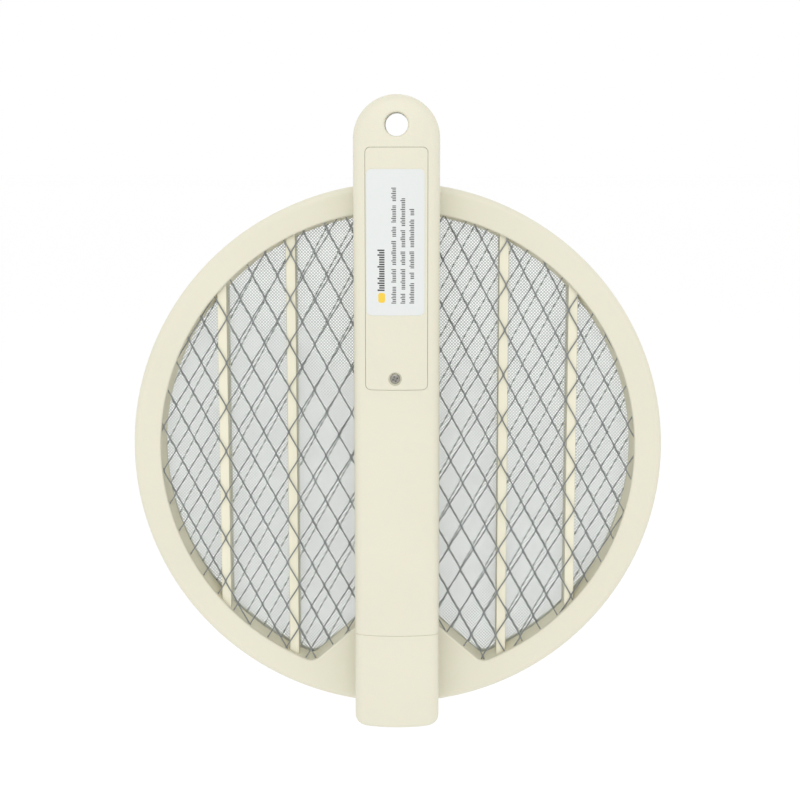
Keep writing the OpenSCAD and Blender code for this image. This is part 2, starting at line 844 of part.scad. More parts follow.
module head_hv_leads() {
    tilt = [0, sin(channel_tilt), cos(channel_tilt)];
    middle = [channel_x, hinge_y, hinge_z];
    color([0.85, 0.85, 0.84]) both_sides()
        wire([[pin_x0 + 1, hinge_y, hinge_z], middle + [lead_bend, 0, 0], middle + lead_bend * tilt,
            middle + channel_rise * tilt, [channel_x, channel_lead_y, hinge_z + channel_rise],
            [channel_x, channel_lead_y, channel_z1 - 0.2]], lead_r);
}

handle_outer_shell();
handle_inner_shell();
hinge_collar();
shell_screws();
collar_screws();
hinge_pins();
hinge_washers();
battery_door();
door_screw();
door_label();
battery_tray();
battery_cell_1();
battery_cell_2();
battery_cell_3();
battery_cell_4();
battery_contacts();
battery_springs();
battery_leads();
circuit_board();
transformer_core();
transformer_winding();
high_voltage_capacitor();
filter_capacitor();
resistors();
diodes();
switching_transistor();
zap_button();
button_spring();
push_switch();
power_switch_knob();
power_switch_body();
indicator_lamp();
handle_hv_leads();
head_front_frame();
head_rear_frame();
frame_screws();
front_grid();
centre_grid();
rear_grid();
front_spacer();
rear_spacer();
head_hv_leads();
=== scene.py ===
import math

import bmesh
import bpy
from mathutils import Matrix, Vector


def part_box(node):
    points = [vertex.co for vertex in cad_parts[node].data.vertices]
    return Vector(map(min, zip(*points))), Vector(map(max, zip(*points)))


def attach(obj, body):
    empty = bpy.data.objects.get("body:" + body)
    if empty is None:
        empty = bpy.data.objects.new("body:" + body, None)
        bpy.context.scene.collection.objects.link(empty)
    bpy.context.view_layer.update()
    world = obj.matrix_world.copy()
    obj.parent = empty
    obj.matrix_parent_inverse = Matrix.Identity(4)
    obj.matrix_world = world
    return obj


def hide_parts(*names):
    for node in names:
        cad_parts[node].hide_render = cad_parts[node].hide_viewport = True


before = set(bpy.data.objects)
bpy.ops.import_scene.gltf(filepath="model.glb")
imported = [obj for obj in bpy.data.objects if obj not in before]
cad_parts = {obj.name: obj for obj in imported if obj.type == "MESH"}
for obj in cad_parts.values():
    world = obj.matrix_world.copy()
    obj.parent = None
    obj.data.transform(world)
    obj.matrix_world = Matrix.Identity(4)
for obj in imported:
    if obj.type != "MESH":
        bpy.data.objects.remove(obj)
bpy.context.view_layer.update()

MM = 0.001
TAU = 2 * math.pi

# ---------------------------------------------------------------- mesh tools


def new_object(name, verts, faces):
    """A mesh object from points in millimetres."""
    mesh = bpy.data.meshes.new(name)
    mesh.from_pydata([tuple(c * MM for c in v) for v in verts], [], faces)
    ob = bpy.data.objects.new(name, mesh)
    bpy.context.scene.collection.objects.link(ob)
    return ob


def weld(ob, gap=1e-6):
    """Merges points that coincide and turns every face outwards."""
    bm = bmesh.new()
    bm.from_mesh(ob.data)
    bmesh.ops.remove_doubles(bm, verts=bm.verts, dist=gap)
    bmesh.ops.recalc_face_normals(bm, faces=bm.faces)
    bm.to_mesh(ob.data)
    bm.free()
    return ob


def apply_modifiers(ob):
    bpy.context.view_layer.update()
    depsgraph = bpy.context.evaluated_depsgraph_get()
    made = bpy.data.meshes.new_from_object(ob.evaluated_get(depsgraph))
    ob.modifiers.clear()
    old, ob.data = ob.data, made
    bpy.data.meshes.remove(old)
    return ob


def boolean(ob, other, operation):
    mod = ob.modifiers.new("Boolean", "BOOLEAN")
    mod.object, mod.operation, mod.solver = other, operation, "EXACT"
    apply_modifiers(ob)
    bpy.data.objects.remove(other)
    return ob


def cut(ob, *others):
    for other in others:
        boolean(ob, other, "DIFFERENCE")
    return ob


def add(ob, *others):
    for other in others:
        boolean(ob, other, "UNION")
    return ob


def join(name, obs):
    """Several objects as one, each still a closed shell of its own."""
    bm = bmesh.new()
    for ob in obs:
        bm.from_mesh(ob.data)
    mesh = bpy.data.meshes.new(name)
    bm.to_mesh(mesh)
    bm.free()
    for ob in obs:
        bpy.data.objects.remove(ob)
    joined = bpy.data.objects.new(name, mesh)
    bpy.context.scene.collection.objects.link(joined)
    return joined


def shade(ob, angle=32):
    """Smooth faces, with the real edges kept crisp and large faces kept flat."""
    ob.data.shade_smooth()
    ob.data.set_sharp_from_angle(angle=math.radians(angle))
    mod = ob.modifiers.new("Normals", "WEIGHTED_NORMAL")
    mod.keep_sharp = True
    return apply_modifiers(ob)


def skin(name, rings, ends="caps", closed=True):
    """Faces over rings of equal length. ends: caps, fans, loop (last ring meets the first) or open."""
    n = len(rings[0])
    verts = [p for ring in rings for p in ring]
    faces = []
    rows = len(rings) if ends == "loop" else len(rings) - 1
    for r in range(rows):
        a, b = r * n, (r + 1) % len(rings) * n
        for i in range(n if closed else n - 1):
            j = (i + 1) % n
            faces.append((a + i, a + j, b + j, b + i))
    if ends == "caps":
        faces.append(tuple(reversed(range(n))))
        faces.append(tuple(range((len(rings) - 1) * n, len(rings) * n)))
    if ends == "fans":
        for ring, base in ((rings[0], 0), (rings[-1], (len(rings) - 1) * n)):
            verts.append(tuple(sum(p[k] for p in ring) / n for k in range(3)))
            centre = len(verts) - 1
            faces += [(base + i, base + (i + 1) % n, centre) for i in range(n)]
    return weld(new_object(name, verts, faces))


def arc(cx, cy, r, a0, a1, n):
    """n + 1 points on an arc, in degrees."""
    return [(cx + r * math.cos(math.radians(a0 + (a1 - a0) * i / n)),
             cy + r * math.sin(math.radians(a0 + (a1 - a0) * i / n))) for i in range(n + 1)]


def round_rect(cx, cz, w, h, r, off=0.0, corner=8, side=3):
    """A rounded rectangle in X and Z, grown by off. Every size has the same number of points."""
    w, h, r = w + 2 * off, h + 2 * off, max(r + off, 0.02)
    points = []
    for q, (sx, sz) in enumerate(((1, 1), (-1, 1), (-1, -1), (1, -1))):
        points += arc(cx + sx * (w / 2 - r), cz + sz * (h / 2 - r), r, 90 * q, 90 * q + 90, corner)
    out = []
    for i, p in enumerate(points):
        out.append(p)
        if i % (corner + 1) == corner:
            nxt = points[(i + 1) % len(points)]
            out += [(p[0] + (nxt[0] - p[0]) * k / side, p[1] + (nxt[1] - p[1]) * k / side)
                    for k in range(1, side)]
    return out


def round_hole(cx, cz, r, off=0.0, n=48):
    return [(cx + (r + off) * math.cos(TAU * i / n), cz + (r + off) * math.sin(TAU * i / n))
            for i in range(n)]


def lathe(name, profile, place, n=48):
    """Turns (radius, height) points about an axis. place puts (a, b, height) in X, Y, Z."""
    rings = [[place(r * math.cos(TAU * i / n), r * math.sin(TAU * i / n), h) for i in range(n)]
             for r, h in profile]
    return skin(name, rings)


def rod_x(name, y, z, r, x0, x1, edge=0.3, n=64):
    """A cylinder along X with rounded rims."""
    profile = [(r - edge + px, x0 + edge + py) for px, py in arc(0, 0, edge, -90, 0, 4)]
    profile += [(r - edge + px, x1 - edge + py) for px, py in arc(0, 0, edge, 0, 90, 4)]
    return lathe(name, profile, lambda a, b, h: (h, y + a, z + b), n)


# ---------------------------------------------------------------- sizes, in millimetres


def box_mm(node):
    low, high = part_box(node)
    return low / MM, high / MM


shell_high = box_mm("handle_outer_shell")[1]
inner_high = box_mm("handle_inner_shell")[1]
collar_high = box_mm("hinge_collar")[1]
front_high = box_mm("head_front_frame")[1]
rear_low, rear_high = box_mm("head_rear_frame")

HALF_W = shell_high.x
HALF_D = inner_high.y
TOP_Z = shell_high.z
SEAM_Z = collar_high.z
CROWN_R, EDGE_R, WALL = 50.0, 4.5, 1.8
CROWN_Y = CROWN_R - HALF_D
EDGE_X = HALF_W - EDGE_R
EDGE_Y = CROWN_Y - math.sqrt((CROWN_R - EDGE_R) ** 2 - EDGE_X ** 2)
TANGENT = math.degrees(math.atan2(EDGE_Y - CROWN_Y, EDGE_X))
END_Z = TOP_Z - HALF_W
HANG_R = 4.6
HANG_LIP = 1.0
COLLAR_BOTTOM = -245.0
PART_GAP, SEAM_EDGE = 0.04, 0.16

HINGE_Y = HALF_D + 0.2
HINGE_Z = COLLAR_BOTTOM + 0.5
KNUCKLE_R = 5.0
KNUCKLE_GAP = 0.35
MIDDLE_KNUCKLE, OUTER_KNUCKLE = 10.18, (10.72, 15.6)

HEAD_R = front_high.x
HEAD_Z = (rear_low.z + rear_high.z) / 2
HEAD_Y0 = HALF_D + 0.4
MID_Y = front_high.y
HEAD_Y1 = rear_high.y
RIM_W = 11.4
OPEN_R = HEAD_R - RIM_W
THROAT_TOP, THROAT_HALF, THROAT_ANGLE, THROAT_FILLET = -72.0, 12.7, 40.8, 5.0
THROAT_ROUND = 3.0
SEAT_OFF, LIP_T, LIP_R, RIM_EDGE = 4.4, 2.0, 0.9, 2.5
SIN_T, COS_T = math.sin(math.radians(THROAT_ANGLE)), math.cos(math.radians(THROAT_ANGLE))


def crown(x, z):
    """The Y of the handle's outer face, which is crowned across and turned round the top end."""
    rho = abs(x) if z <= END_Z else math.hypot(x, z - END_Z)
    return CROWN_Y - math.sqrt(CROWN_R ** 2 - min(rho, 13.9) ** 2)


def flat_face(x, z):
    return HALF_D


def prism(name, outline, rings, face=None, inward=1):
    """A body over an outline in X and Z. Each ring is (growth, depth): depth runs from face into
    the part, or it is a plain Y where face is None or the depth is given as ("y", value)."""
    made = []
    for off, depth in rings:
        ring = []
        for x, z in outline(off):
            y = depth[1] if isinstance(depth, tuple) else face(x, z) + inward * depth
            ring.append((x, y, z))
        made.append(ring)
    return skin(name, made, ends="fans")


def pocket(name, outline, face, inward, lip, floor_y, start=-1.5):
    """A cutter for an opening with a rounded lip, from outside the face to floor_y."""
    rings = [(lip * 1.25, start), (lip * 1.25, -0.06 - lip * 0.1)]
    rings += [(lip * (1 - math.sin(t)), lip * (1 - math.cos(t)))
              for t in (math.radians(a) for a in (10, 28, 46, 64, 80, 90))]
    rings.append((0, ("y", floor_y)))
    return prism(name, outline, rings, face, inward)


# ---------------------------------------------------------------- handle shells


def section(half, inset, chamfer=0.0):
    """One shell's right half section. half is -1 for the outer shell and 1 for the inner one."""
    side = HALF_W - inset - chamfer
    if half < 0:
        points = arc(0, CROWN_Y, CROWN_R - inset - chamfer, -90, TANGENT, 14)
        points += arc(EDGE_X, EDGE_Y, EDGE_R - inset - chamfer, TANGENT, 0, 8)[1:]
        points += [(side, -0.2), (side - (SEAM_EDGE if inset == 0 else 0), -PART_GAP)]
        points[0] = (0.0, points[0][1])
        return points
    points = [(0.0, HALF_D - inset - chamfer)]
    points += arc(EDGE_X, HALF_D - EDGE_R, EDGE_R - inset - chamfer, 90, 0, 10)
    points += [(side, 0.2), (side - (SEAM_EDGE if inset == 0 else 0), PART_GAP)]
    return points


def shell(name, half):
    """A thin-walled half of the handle, swept up one side, round the end and down the other. half is
    -1 for the outer shell and 1 for the inner one."""
    rows = [SEAM_Z + 0.03, SEAM_Z + 0.2] + [SEAM_Z + 25 * k for k in range(1, 8)] + [END_Z]
    stations = [("z", z, 1) for z in rows]
    stations += [("a", math.pi * k / 36, 1) for k in range(1, 36)]
    stations += [("z", z, -1) for z in reversed(rows)]
    rings = []
    for kind, value, side in stations:
        chamfer = SEAM_EDGE if kind == "z" and value == rows[0] else 0.0
        loop = section(half, 0, chamfer) + section(half, WALL)[::-1]
        if kind == "z":
            rings.append([(side * x, y, value) for x, y in loop])
        else:
            rings.append([(x * math.cos(value), y, END_Z + x * math.sin(value)) for x, y in loop])
    n = len(rings[0])
    verts = [p for ring in rings for p in ring]
    faces = [(r * n + i, r * n + i + 1, (r + 1) * n + i + 1, (r + 1) * n + i)
             for r in range(len(rings) - 1) for i in range(n - 1)]
    for base in (0, (len(rings) - 1) * n):
        faces += [(base + i, base + i + 1, base + n - 2 - i, base + n - 1 - i)
                  for i in range(n // 2 - 1)]
    return weld(new_object(name, verts, faces))


def hang_outline(off):
    return round_hole(0, 0, HANG_R, off, 64)


door_low, door_high = box_mm("battery_door")
DOOR_W, DOOR_H = door_high.x - door_low.x, door_high.z - door_low.z
DOOR_Z = (door_high.z + door_low.z) / 2
DOOR_R, DOOR_EDGE = 2.0, 0.2
DOOR_GAP, BAY_LIP = 0.1, 0.16


def door_outline(off):
    return round_rect(0, DOOR_Z, DOOR_W, DOOR_H, DOOR_R, off, 10, 10)


outer_shell = shell("outer_shell", -1)
add(outer_shell, prism("boss", lambda off: round_hole(0, 0, HANG_R + WALL, off, 64),
                       [(0, 0.9), (0, ("y", -PART_GAP))], crown))
cut(outer_shell,
    pocket("hole", hang_outline, crown, 1, HANG_LIP, 1.0),
    pocket("bay", lambda off: door_outline(off + DOOR_GAP), crown, 1, BAY_LIP, -5.0))

SCREW_BOSS_R, SCREW_RECESS_R = 2.7, 2.3
SHELL_SCREWS = [(s * x, z) for x, z in ((11, -0.5), (12, -108.6), (11.2, -198.6)) for s in (-1, 1)]
COLLAR_SCREWS = [(s * 9, -210.9) for s in (-1, 1)]
button_low, button_high = box_mm("zap_button")
knob_low, knob_high = box_mm("power_switch_knob")
lamp_low, lamp_high = box_mm("indicator_lamp")
BUTTON_Z = (button_low.z + button_high.z) / 2
KNOB_Z = (knob_low.z + knob_high.z) / 2
LAMP_Z = (lamp_low.z + lamp_high.z) / 2
BUTTON_W, BUTTON_H = 9.0, 15.0
KNOB_W, KNOB_H, KNOB_TRAVEL = 6.0, 7.0, 4.0
STEM_W, STEM_H = 4.0, 5.0
LAMP_R = 1.5


def button_outline(off):
    return round_rect(0, BUTTON_Z, BUTTON_W, BUTTON_H, BUTTON_W / 2 - 0.01, off, 10, 4)


def slot_outline(off):
    """The slot that the knob slides in, longer by its travel."""
    return round_rect(0, KNOB_Z - KNOB_TRAVEL / 2, KNOB_W + 0.6, KNOB_H + 0.6 + KNOB_TRAVEL, 1.5, off)


def stem_outline(off):
    return round_rect(0, KNOB_Z - KNOB_TRAVEL / 2, STEM_W + 0.5, STEM_H + 0.5 + KNOB_TRAVEL, 1.0, off)


inner_shell = shell("inner_shell", 1)
add(inner_shell, prism("boss", lambda off: round_hole(0, 0, HANG_R + WALL, off, 64),
                       [(0, 0.9), (0, ("y", PART_GAP))], flat_face, -1))
for x, z in SHELL_SCREWS:
    add(inner_shell, prism("boss", lambda off: round_hole(x, z, SCREW_BOSS_R, off, 32),
                           [(0, 0.9), (0, ("y", PART_GAP))], flat_face, -1))
for x, z in SHELL_SCREWS:
    cut(inner_shell, pocket("screw", lambda off: round_hole(x, z, SCREW_RECESS_R, off, 32),
                            flat_face, -1, 0.3, HALF_D - 2.0))
cut(inner_shell,
    pocket("hole", hang_outline, flat_face, -1, HANG_LIP, -1.0),
    pocket("press", lambda off: button_outline(off + 0.2), flat_face, -1, 0.5, 8.0),
    pocket("slot", slot_outline, flat_face, -1, 0.4, HALF_D - 0.8),
    pocket("stem", stem_outline, flat_face, -1, 0.02, 8.0),
    pocket("lamp", lambda off: round_hole(0, LAMP_Z, LAMP_R + 0.1, off, 32), flat_face, -1, 0.3, 8.0))

# ---------------------------------------------------------------- hinge collar


def full_section(inset):
    """The handle's whole section, from the two shells' halves."""
    right = section(-1, inset)[:-2] + [(HALF_W - inset, 0.0)] + section(1, inset)[:-2][::-1]
    return right + [(-x, y) for x, y in right[-2:0:-1]]


def collar():
    """The hollow end piece below the seam, with rounded lower corners."""
    corner, lower, steps = 4.0, 1.6, 12
    outer = []
    for k in range(steps + 1):
        h = corner * (1 - math.cos(math.radians(90 * k / steps)))
        sx = (HALF_W - corner + math.sqrt(max(corner ** 2 - (corner - h) ** 2, 0))) / HALF_W
        drop = lower - math.sqrt(max(lower ** 2 - max(lower - h, 0) ** 2, 0))
        outer.append([(x * sx, y * (HALF_D - drop) / HALF_D, COLLAR_BOTTOM + h)
                      for x, y in full_section(0)])
    rings = outer + [[(x, y, SEAM_Z - 0.2) for x, y in full_section(0)],
                     [(x, y, SEAM_Z - 0.03) for x, y in full_section(SEAM_EDGE)],
                     [(x, y, SEAM_Z - 0.03) for x, y in full_section(WALL)],
                     [(x, y, COLLAR_BOTTOM + 9) for x, y in full_section(WALL)]]
    return skin("collar", rings)


hinge_collar = collar()
cut(hinge_collar, rod_x("gap", HINGE_Y, HINGE_Z, KNUCKLE_R + KNUCKLE_GAP, -10.7, 10.7, 0.05))
for s in (-1, 1):
    ends = sorted(s * x for x in OUTER_KNUCKLE)
    add(hinge_collar, rod_x("knuckle", HINGE_Y, HINGE_Z, KNUCKLE_R, *ends, 0.4))
for x, z in COLLAR_SCREWS:
    cut(hinge_collar, pocket("screw", lambda off: round_hole(x, z, SCREW_RECESS_R, off, 32),
                             flat_face, -1, 0.25, HALF_D - 1.0))

# ---------------------------------------------------------------- battery door and label

SCREW_X, SCREW_Z = [(a + b) / 2 for a, b in zip(*[(v.x, v.z) for v in box_mm("door_screw")])]
DOOR_RECESS_R, DOOR_SHANK_R = 2.65, 1.05


def plate(name, outline, thick, edge, steps, lift=0.0):
    """A thin plate on the crowned face, with a rounded rim and rings closing over its middle. steps
    are the rings' distances in from the rim, and lift is how far it stands out from the face."""
    rings = [(0.0, thick), (0.0, edge)]
    rings += [(-edge * (1 - math.cos(t)), edge * (1 - math.sin(t)))
              for t in (math.radians(a) for a in (22, 45, 68, 90))]
    top = [(-s, 0.0) for s in steps]
    under = [(-s, thick) for s in reversed(steps)]
    return prism(name, outline, under + rings + top, lambda x, z: crown(x, z) - lift)


half_door = DOOR_W / 2
DOOR_STEPS = [0.7, 1.4, 2.2, 3.5, 5.5, 7.5, 9.5, 11.2, half_door - 0.1]
door = plate("door", door_outline, WALL, DOOR_EDGE, DOOR_STEPS)
cut(door,
    pocket("recess", lambda off: round_hole(SCREW_X, SCREW_Z, DOOR_RECESS_R, off),
           crown, 1, 0.15, -HALF_D + 1.1),
    prism("shank", lambda off: round_hole(SCREW_X, SCREW_Z, DOOR_SHANK_R, off, 24),
          [(0, ("y", -HALF_D - 1)), (0, ("y", -8.0))]))

label_low, label_high = box_mm("door_label")
LABEL_W, LABEL_H = label_high.x - label_low.x, label_high.z - label_low.z
LABEL_X, LABEL_Z = (label_high.x + label_low.x) / 2, (label_high.z + label_low.z) / 2
LABEL_T, LABEL_R = 0.12, 2.0
LABEL_STEPS = [0.5, 1.5, 3, 5, 7, 9, 10.5, LABEL_W / 2 - 0.1]
label = plate("label", lambda off: round_rect(LABEL_X, LABEL_Z, LABEL_W, LABEL_H, LABEL_R, off, 8, 8),
              LABEL_T - 0.02, 0.05, LABEL_STEPS, LABEL_T)

# A type is its letter height, stroke width and letter pitch. A row is its distance across the label
# and the number of letters in each word.
HEADING, SMALL_TYPE = (2.1, 0.6, 1.85), (1.4, 0.36, 1.385)
HEADING_ROW = (6.1, (9,))
SMALL_ROWS = ((11.0, (5, 4, 7, 3, 5, 4)), (14.6, (3, 6, 4, 5, 8)), (18.1, (6, 2, 5, 8, 2)))
SIGN_GAP = 4.9


def print_line(verts, faces, x, z, letters, height, stroke, pitch):
    """A line of plain strokes, two to a letter's space, running up the label in words of so many
    letters. It spells nothing."""
    count = 0
    for word in letters:
        for _ in range(2 * word):
            tall = count % 5 == 0 or count % 7 == 3
            left, right = x - height / 2 - (0.32 * height if tall else 0), x + height / 2
            base = len(verts)
            for lift in (LABEL_T - 0.005, LABEL_T + 0.015):
                verts += [(a, crown(a, z) - lift, z + b) for a, b in
                          ((left, 0), (right, 0), (right, stroke), (left, stroke))]
            faces += [(base, base + 1, base + 2, base + 3), (base + 7, base + 6, base + 5, base + 4)]
            faces += [(base + k, base + 4 + k, base + 4 + (k + 1) % 4, base + (k + 1) % 4)
                      for k in range(4)]
            z += pitch / 2
            count += 1
        z += pitch


TEXT_X, TEXT_Z = LABEL_X - LABEL_W / 2, LABEL_Z - LABEL_H / 2 + 4.8
print_verts, print_faces = [], []
across, words = HEADING_ROW
print_line(print_verts, print_faces, TEXT_X + across, TEXT_Z + SIGN_GAP, words, *HEADING)
for across, words in SMALL_ROWS:
    print_line(print_verts, print_faces, TEXT_X + across, TEXT_Z, words, *SMALL_TYPE)
label_print = weld(new_object("label_print", print_verts, print_faces))
label_patch = plate("label_patch",
                    lambda off: round_rect(TEXT_X + 6.0, TEXT_Z + 2.2, 2.7, 3.9, 0.8, off, 4, 4),
                    0.02, 0.004, [1.2], LABEL_T + 0.006)

# ---------------------------------------------------------------- head frames


def opening():
    """The opening's outline about the head's centre, as (x, z, normal x, normal z), anticlockwise from
    the throat's right side."""
    f, reach = THROAT_FILLET, OPEN_R - THROAT_FILLET
    # The fillet's centre lies f from the throat's side and f inside the opening's circle.
    level = THROAT_HALF * SIN_T + THROAT_TOP * COS_T + f
    angle = math.atan2(COS_T, SIN_T) - math.acos(level / reach)
    cx, cz = reach * math.cos(angle), reach * math.sin(angle)
    start = math.degrees(math.atan2(cz, cx))
    side = math.degrees(math.atan2(-COS_T, -SIN_T))
    k = THROAT_ROUND
    # The centre of the round between the throat's side and its top, which lies inside the throat.
    corner_x = THROAT_HALF - k * math.tan(math.radians(THROAT_ANGLE / 2))
    corner_z = THROAT_TOP - k
    right = []

    def arc_points(x, z, r, a0, a1, n, inside):
        for i in range(n + 1):
            t = math.radians(a0 + (a1 - a0) * i / n)
            d = (math.cos(t), math.sin(t))
            right.append((x + r * d[0], z + r * d[1], inside * d[0], inside * d[1]))

    arc_points(0, 0, OPEN_R, 90, start, 70, 1)
    arc_points(cx, cz, f, start, side, 10, 1)
    x0, z0, nx, nz = right[-1]
    x1, z1 = corner_x + k * SIN_T, corner_z + k * COS_T
    for i in range(1, 6):
        right.append((x0 + (x1 - x0) * i / 6, z0 + (z1 - z0) * i / 6, nx, nz))
    arc_points(corner_x, corner_z, k, 90 - THROAT_ANGLE, 90, 6, -1)
    for x in (corner_x * 0.5, 0.0):
        right.append((x, THROAT_TOP, 0.0, -1.0))
    return right + [(-x, z, -nx, nz) for x, z, nx, nz in right[-2:0:-1]]


OPENING = opening()


def opening_at(off, y):
    return [(x + off * nx, y, HEAD_Z + z + off * nz) for x, z, nx, nz in OPENING]


def circle_at(r, y):
    """The circle's points on the same rays as the opening's."""
    return [(r * x / math.hypot(x, z), y, HEAD_Z + r * z / math.hypot(x, z)) for x, z, _, _ in OPENING]


def frame_ring(name, sign):
    """One half of the head, from its lip round the outside and back along the seat. sign is -1 for
    the front half and 1 for the rear one."""
    face_y = HEAD_Y0 if sign < 0 else HEAD_Y1
    y = lambda depth: face_y - sign * depth
    half_t = abs(MID_Y - face_y)
    rings = [opening_at(LIP_R * (1 - math.cos(t)), y(LIP_R * (1 - math.sin(t))))
             for t in (math.radians(a) for a in range(0, 91, 15))]
    rings += [opening_at(1.6, y(0)), circle_at(HEAD_R - RIM_EDGE - 0.8, y(0))]
    rings += [circle_at(HEAD_R - RIM_EDGE + RIM_EDGE * math.sin(t), y(RIM_EDGE * (1 - math.cos(t))))
              for t in (math.radians(a) for a in range(0, 91, 10))]
    rings += [circle_at(HEAD_R, y(half_t - 0.25)), circle_at(HEAD_R - 0.18, y(half_t - 0.03)),
              opening_at(SEAT_OFF, y(half_t - 0.03)), opening_at(SEAT_OFF, y(LIP_T)),
              opening_at(0, y(LIP_T))]
    return skin(name, rings, ends="loop")


front_frame = frame_ring("front_frame", -1)
for s in (-1, 1):
    ends = sorted((s * 10.2, s * 16.0))
    cut(front_frame, rod_x("gap", HINGE_Y, HINGE_Z, KNUCKLE_R + KNUCKLE_GAP, *ends, 0.05))
add(front_frame, rod_x("knuckle", HINGE_Y, HINGE_Z, KNUCKLE_R, -MIDDLE_KNUCKLE, MIDDLE_KNUCKLE, 0.4))

FRAME_SCREW_RING, FRAME_SCREW_COUNT, FRAME_RECESS_R = 106.6, 8, 2.1
screw_angles = [TAU * (i + 0.5) / FRAME_SCREW_COUNT for i in range(FRAME_SCREW_COUNT)]
FRAME_SCREWS = [(FRAME_SCREW_RING * math.cos(a), FRAME_SCREW_RING * math.sin(a)) for a in screw_angles]
FRAME_SCREWS += [(s * 9, THROAT_TOP - 12) for s in (-1, 1)]
rear_frame = frame_ring("rear_frame", 1)
for x, z in FRAME_SCREWS:
    cut(rear_frame, pocket("screw", lambda off: round_hole(x, HEAD_Z + z, FRAME_RECESS_R, off, 32),
                           lambda x, z: HEAD_Y1, -1, 0.25, HEAD_Y1 - 2.2))

# ---------------------------------------------------------------- spacers, with their ribs

FIRST_RIB, RIB_PITCH, RIB_HALF_W = 15.3, 28.6, 1.95
SPACER_OFF, RIB_REACH = 4.2, 2.5
RIBS = [s * (FIRST_RIB + RIB_PITCH * i) for i in range(3) for s in (-1, 1)]


def spacer(name, node, front, back):
    """A ring with upright ribs. front and back say how far its inner side lies outside the opening."""
    low, high = box_mm(node)
    ring = skin(name, [opening_at(front, low.y), opening_at(back, high.y),
                       opening_at(SPACER_OFF, high.y), opening_at(SPACER_OFF, low.y)], ends="loop")
    for x in RIBS:
        top = math.sqrt((OPEN_R + RIB_REACH) ** 2 - x ** 2)
        foot = THROAT_TOP - RIB_REACH / COS_T - (abs(x) - THROAT_HALF) * SIN_T / COS_T
        foot = max(-top, foot)
        rim = [(RIB_HALF_W - 0.45, 0.02), (RIB_HALF_W - 0.13, 0.15), (RIB_HALF_W, 0.45)]
        half = [(-px, py) for px, py in rim[::-1]] + rim
        loop = [(x + px, low.y + py) for px, py in half]
        loop += [(x - px, high.y - py) for px, py in half]
        rib = skin("rib", [[(px, py, HEAD_Z + z) for px, py in loop] for z in (foot, top)])
        add(ring, rib)
    return ring


front_spacer = spacer("front_spacer_ribs", "front_spacer", 0.3, -1.2)
rear_spacer = spacer("rear_spacer_ribs", "rear_spacer", 2.4, 2.4)

# ---------------------------------------------------------------- expanded-metal grids


def in_grid(x, z, margin=2.6):
    side = (abs(x) - THROAT_HALF) * SIN_T + (z - THROAT_TOP) * COS_T
    return math.hypot(x, z) < OPEN_R + margin and max(z - THROAT_TOP, side) > -margin


def clip(points):
    """The runs of a route that lie in the grid, each ended exactly at its edge."""
    runs, run = [], []
    for a, b in zip(points, points[1:]):
        ia, ib = in_grid(a[0], a[2]), in_grid(b[0], b[2])
        if ia and not run:
            run = [a]
        if ia and ib:
            run.append(b)
        elif ia != ib:
            low, high = 0.0, 1.0
            for _ in range(14):
                t = (low + high) / 2
                p = [a[k] + (b[k] - a[k]) * t for k in range(3)]
                low, high = (t, high) if in_grid(p[0], p[2]) == ia else (low, t)
            if ia:
                runs.append(run + [p])
                run = []
            else:
                run = [p, b]
    if len(run) > 1:
        runs.append(run)
    return [r for r in runs if math.dist(r[0], r[-1]) > 1.0]


def strand(verts, faces, run, y_half, half_w, sides):
    """A bar of the given section along a run of points, with mitred bends and closed ends."""
    base, n = len(verts), len(sides)
    for i, p in enumerate(run):
        before, after = run[max(i - 1, 0)], run[min(i + 1, len(run) - 1)]
        d0 = Vector((p[0] - before[0], p[2] - before[2]))
        d1 = Vector((after[0] - p[0], after[2] - p[2]))
        d0 = d0.normalized() if d0.length > 1e-9 else d1.normalized()
        d1 = d1.normalized() if d1.length > 1e-9 else d0
        along = (d0 + d1).normalized()
        mitre = half_w / max(along.dot(d1), 0.5)
        for u, v in sides:
            verts.append((p[0] + along.y * u * mitre, p[1] + v * y_half,
                          HEAD_Z + p[2] - along.x * u * mitre))
    for i in range(len(run) - 1):
        a, b = base + i * n, base + (i + 1) * n
        faces += [(a + k, a + (k + 1) % n, b + (k + 1) % n, b + k) for k in range(n)]
    faces.append(tuple(base + k for k in reversed(range(n))))
    faces.append(tuple(base + (len(run) - 1) * n + k for k in range(n)))


BAR = [(-1, -0.45), (-0.62, -1), (0.62, -1), (1, -0.45), (1, 0.45), (0.62, 1), (-0.62, 1), (-1, 0.45)]
RIBBON = [(-1, -1), (1, -1), (1, 1), (-1, 1)]
STRAND_HALF_W, STRAND_HALF_T = 0.26, 0.26
BOND_L = 1.1
TWIST = 0.05


